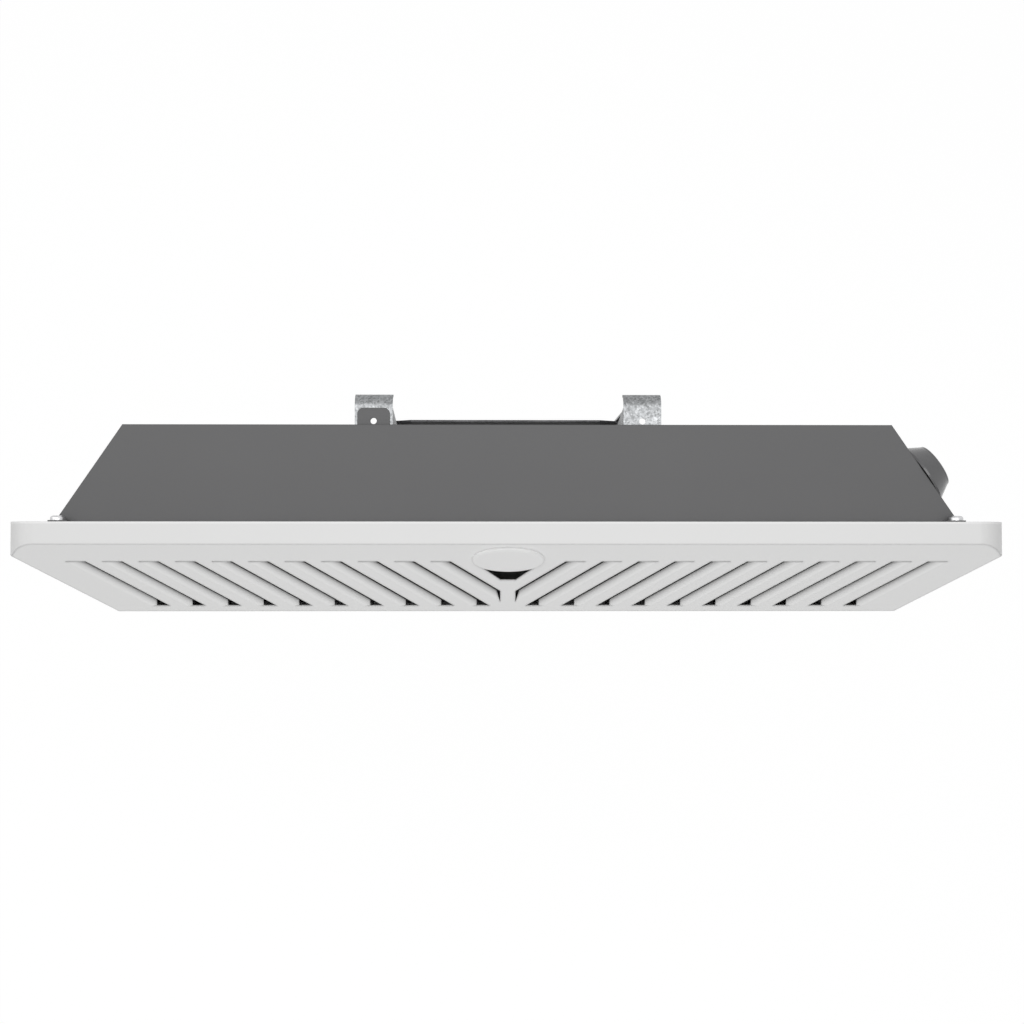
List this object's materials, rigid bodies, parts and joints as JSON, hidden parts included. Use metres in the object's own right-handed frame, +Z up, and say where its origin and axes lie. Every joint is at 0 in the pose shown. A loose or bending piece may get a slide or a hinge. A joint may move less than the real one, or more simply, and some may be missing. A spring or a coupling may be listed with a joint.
{
  "type": "electric convector heater",
  "caption": "Wall-hung electric convector heater: white louvred front panel, tapered grey back housing, side thermostat knob and a steel wall bracket.",
  "frame": {"origin": "centre of the rectangle of the four wall fixing holes, on the bracket's back face against the wall", "axes": "+X to the right seen from the front, +Y into the wall (the heater's front faces -Y), +Z up"},
  "size_m": [0.64, 0.1415, 0.413],
  "materials": {
    "white_enamel": "satin",
    "grey_enamel": "satin",
    "galvanised": "satin",
    "zinc_sheet": "satin",
    "zinc_fixings": "satin",
    "aluminium": "satin",
    "element_steel": "satin",
    "bush_ceramic": "matte",
    "black_plastic": "matte",
    "rocker_plastic": "gloss",
    "shaft_brass": "satin",
    "block_plastic": "matte",
    "wire_brown": "matte",
    "wire_blue": "matte",
    "wire_green": "matte"
  },
  "bodies": {
    "wall_bracket": {"bracket_left": "galvanised", "bracket_right": "galvanised", "cross_strip": "galvanised", "bracket_rivets": "galvanised"},
    "heater": {"front_panel": "white_enamel", "badge": "white_enamel", "back_housing": "grey_enamel", "lock_plate": "grey_enamel", "air_deflector": "zinc_sheet", "partition": "zinc_sheet", "carrier_left": "zinc_sheet", "carrier_right": "zinc_sheet", "cutout_clip": "zinc_sheet", "inlet_guard": "zinc_sheet", "panel_screws": "zinc_fixings", "inner_rivets": "zinc_fixings", "earth_stud": "zinc_fixings", "thermostat_nut": "zinc_fixings", "element_fins": "aluminium", "element_core": "element_steel", "element_pins": "element_steel", "element_bushes": "bush_ceramic", "thermostat_body": "black_plastic", "cable_gland": "black_plastic", "gland_nut": "black_plastic", "switch_body": "black_plastic", "cutout": "black_plastic", "terminal_block": "block_plastic", "wire_supply": "wire_brown", "wire_switched": "wire_brown", "wire_heat": "wire_brown", "wire_cutout": "wire_brown", "wire_neutral": "wire_blue", "wire_earth": "wire_green"},
    "knob": {"control_knob": "black_plastic", "thermostat_shaft": "shaft_brass"},
    "switch_rocker": {"rocker": "rocker_plastic"}
  },
  "joints": [
    {"name": "heater_off_bracket", "type": "slide", "parent": "wall_bracket", "child": "heater", "axis": [0, -1, 0], "range_m": [0, 0.04]},
    {"name": "knob_turn", "type": "hinge", "parent": "heater", "child": "knob", "pos_m": [0.27049, -0.05271, 0.067], "axis": [0.8259, 0.5637, 0], "range_deg": [-270, 0]},
    {"name": "rocker_press", "type": "hinge", "parent": "heater", "child": "switch_rocker", "pos_m": [0.26925, -0.05356, 0.008], "axis": [-0.5637, 0.8259, 0], "range_deg": [0, 14]}
  ]
}
